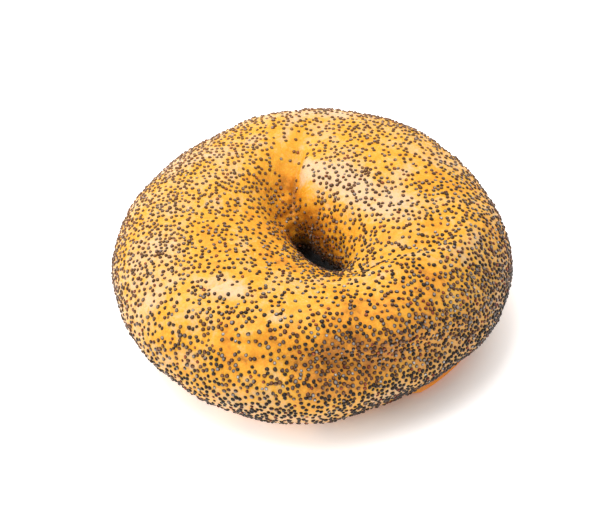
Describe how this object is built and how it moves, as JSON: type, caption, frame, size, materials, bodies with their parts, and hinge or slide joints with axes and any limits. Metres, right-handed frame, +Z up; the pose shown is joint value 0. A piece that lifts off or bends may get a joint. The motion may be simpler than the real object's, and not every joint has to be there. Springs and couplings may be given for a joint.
{
  "type": "bagel",
  "caption": "Plump ring of baked dough with a small slanted hole, a rolled seam, a flat base and a crust sown all over with tiny poppy seeds.",
  "frame": {"origin": "middle of the bounding box, on the flat base", "axes": "+Z up through the hole, -Y towards the viewer of the picture, +X to the viewer's right"},
  "size_m": [0.1086, 0.1116, 0.0368],
  "materials": {
    "crust": "satin baked crust, golden, paler on the swellings"
  },
  "bodies": {
    "root": {"bagel": "crust"}
  },
  "joints": []
}
